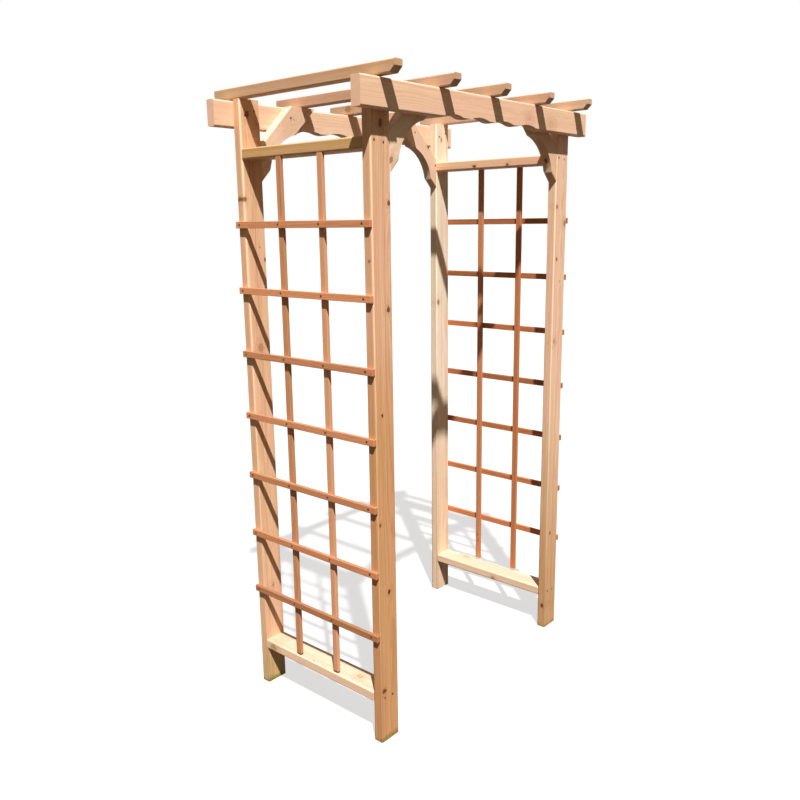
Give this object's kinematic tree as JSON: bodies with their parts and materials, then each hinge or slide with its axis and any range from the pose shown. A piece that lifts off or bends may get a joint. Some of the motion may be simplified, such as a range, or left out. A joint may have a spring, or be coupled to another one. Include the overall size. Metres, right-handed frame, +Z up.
{
  "type": "garden arbor",
  "caption": "Open wooden garden arbor with flat posts, scalloped headers, rafters on top, curved corner braces and a slatted trellis on each side.",
  "frame": {"origin": "on the ground, in the middle of the box that holds the whole arbor", "axes": "+X along the headers from left to right, +Y from front to back through the walkway, +Z up"},
  "size_m": [1.327, 0.848, 2.264],
  "materials": {
    "post_wood": "unfinished planed cedar with knots",
    "header_wood": "unfinished planed cedar, pale and pinkish",
    "rafter_wood": "unfinished planed cedar",
    "brace_wood": "unfinished planed cedar, pale",
    "rail_wood": "unfinished planed cedar",
    "trellis_wood": "unfinished planed cedar, redder",
    "screw_steel": "dark brown coated screw heads"
  },
  "bodies": {
    "root": {"front_left_post": "post_wood", "front_right_post": "post_wood", "back_left_post": "post_wood", "back_right_post": "post_wood", "front_header": "header_wood", "back_header": "header_wood", "rafter_1": "rafter_wood", "rafter_2": "rafter_wood", "rafter_3": "rafter_wood", "rafter_4": "rafter_wood", "rafter_5": "rafter_wood", "front_left_brace": "brace_wood", "front_right_brace": "brace_wood", "back_left_brace": "brace_wood", "back_right_brace": "brace_wood", "left_top_rail": "rail_wood", "right_top_rail": "rail_wood", "left_bottom_rail": "rail_wood", "right_bottom_rail": "rail_wood", "left_upright_1": "trellis_wood", "left_upright_2": "trellis_wood", "right_upright_1": "trellis_wood", "right_upright_2": "trellis_wood", "left_slat_1": "trellis_wood", "left_slat_2": "trellis_wood", "left_slat_3": "trellis_wood", "left_slat_4": "trellis_wood", "left_slat_5": "trellis_wood", "left_slat_6": "trellis_wood", "left_slat_7": "trellis_wood", "right_slat_1": "trellis_wood", "right_slat_2": "trellis_wood", "right_slat_3": "trellis_wood", "right_slat_4": "trellis_wood", "right_slat_5": "trellis_wood", "right_slat_6": "trellis_wood", "right_slat_7": "trellis_wood"}
  },
  "joints": []
}
